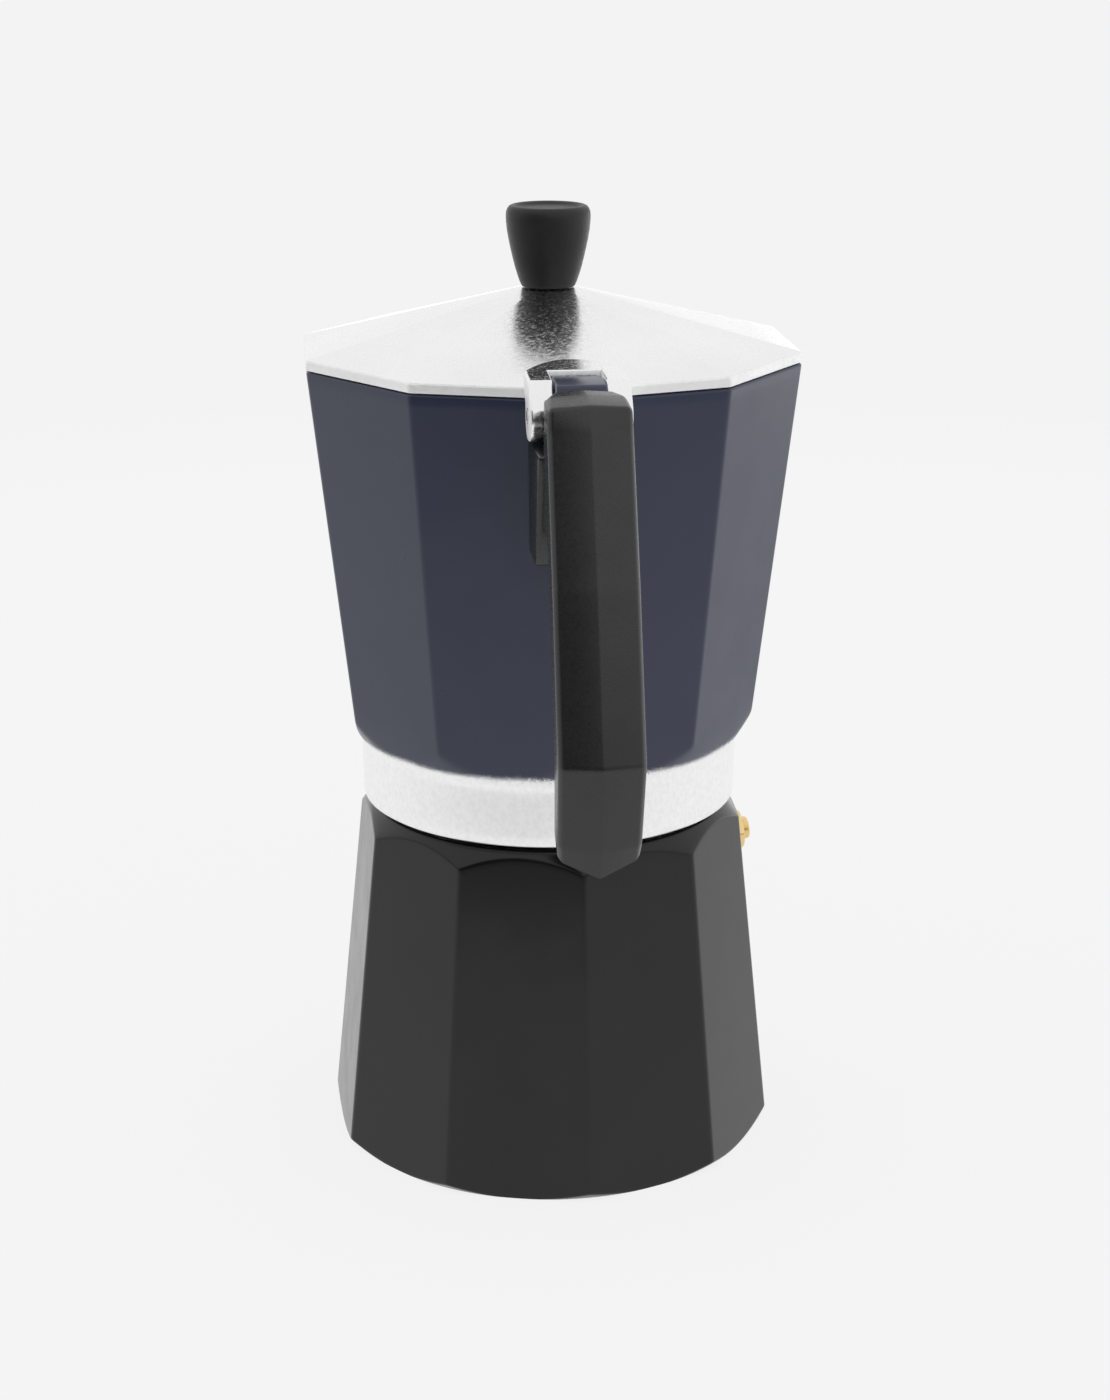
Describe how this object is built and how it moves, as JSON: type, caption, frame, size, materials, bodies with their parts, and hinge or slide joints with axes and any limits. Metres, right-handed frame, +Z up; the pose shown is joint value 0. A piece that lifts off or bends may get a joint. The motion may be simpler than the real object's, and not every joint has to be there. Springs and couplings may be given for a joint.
{
  "type": "moka pot",
  "caption": "Ten-sided stovetop coffee maker: boiler, lift-out funnel, screw-on collector with spout and side handle, and a hinged lid with a knob.",
  "frame": {"origin": "centre of the boiler's flat base", "axes": "+Z up along the pot's axis, +Y towards the spout, -Y towards the hinge and handle"},
  "size_m": [0.125, 0.2022, 0.2498],
  "materials": {
    "black_paint": "satin black enamel over cast aluminium",
    "navy_paint": "satin navy enamel over cast aluminium, bare turned metal on the skirt and inside",
    "satin_aluminium": "polished satin",
    "plain_aluminium": "plain pressed",
    "steel": "plain",
    "brass": "plain turned",
    "black_plastic": "moulded, fine grain",
    "rubber": "matte, off-white",
    "valve_seal": "matte, red-brown"
  },
  "bodies": {
    "boiler": {"boiler": "black_paint", "valve_body": "brass", "valve_washer": "valve_seal", "valve_retainer": "brass", "valve_spring": "steel"},
    "valve_plunger": {"valve_pin": "brass"},
    "funnel": {"funnel_basket": "plain_aluminium", "funnel_tube": "plain_aluminium", "funnel_screen": "plain_aluminium"},
    "gasket": {"gasket": "rubber"},
    "filter_plate": {"filter_plate": "plain_aluminium"},
    "collector": {"collector": "navy_paint", "column": "plain_aluminium", "handle": "black_plastic", "handle_pin": "steel", "hinge_pin": "steel"},
    "lid": {"lid": "satin_aluminium", "knob": "black_plastic", "knob_insert": "brass", "knob_washer": "steel", "knob_screw": "steel"}
  },
  "joints": [
    {"name": "valve_pop", "type": "slide", "parent": "boiler", "child": "valve_plunger", "axis": [0.9923, 0.0729, 0.1003], "range_m": [0, 0.0012], "stiffness_N_per_m": 1500, "springref_m": -0.002, "deforming": ["valve_spring"]},
    {"name": "funnel_lift", "type": "slide", "parent": "boiler", "child": "funnel", "axis": [0, 0, 1], "range_m": [0, 0.1]},
    {"name": "collector_lift", "type": "slide", "parent": "funnel", "child": "gasket", "axis": [0, 0, 1], "range_m": [0, 0.08]},
    {"name": "collector_rise", "type": "slide", "parent": "gasket", "child": "filter_plate", "axis": [0, 0, 1], "range_m": [0, 0.0073]},
    {"name": "collector_turn", "type": "hinge", "parent": "filter_plate", "child": "collector", "pos_m": [0, 0, 0.1], "axis": [0, 0, 1], "range_deg": [0, 810]},
    {"name": "lid_hinge", "type": "hinge", "parent": "collector", "child": "lid", "pos_m": [0, -0.0705, 0.2095], "axis": [1, 0, 0], "range_deg": [0, 94]}
  ],
  "couplings": [
    {"joint": "collector_rise", "follows": "collector_turn", "m_per_rad": 0.0005093}
  ]
}
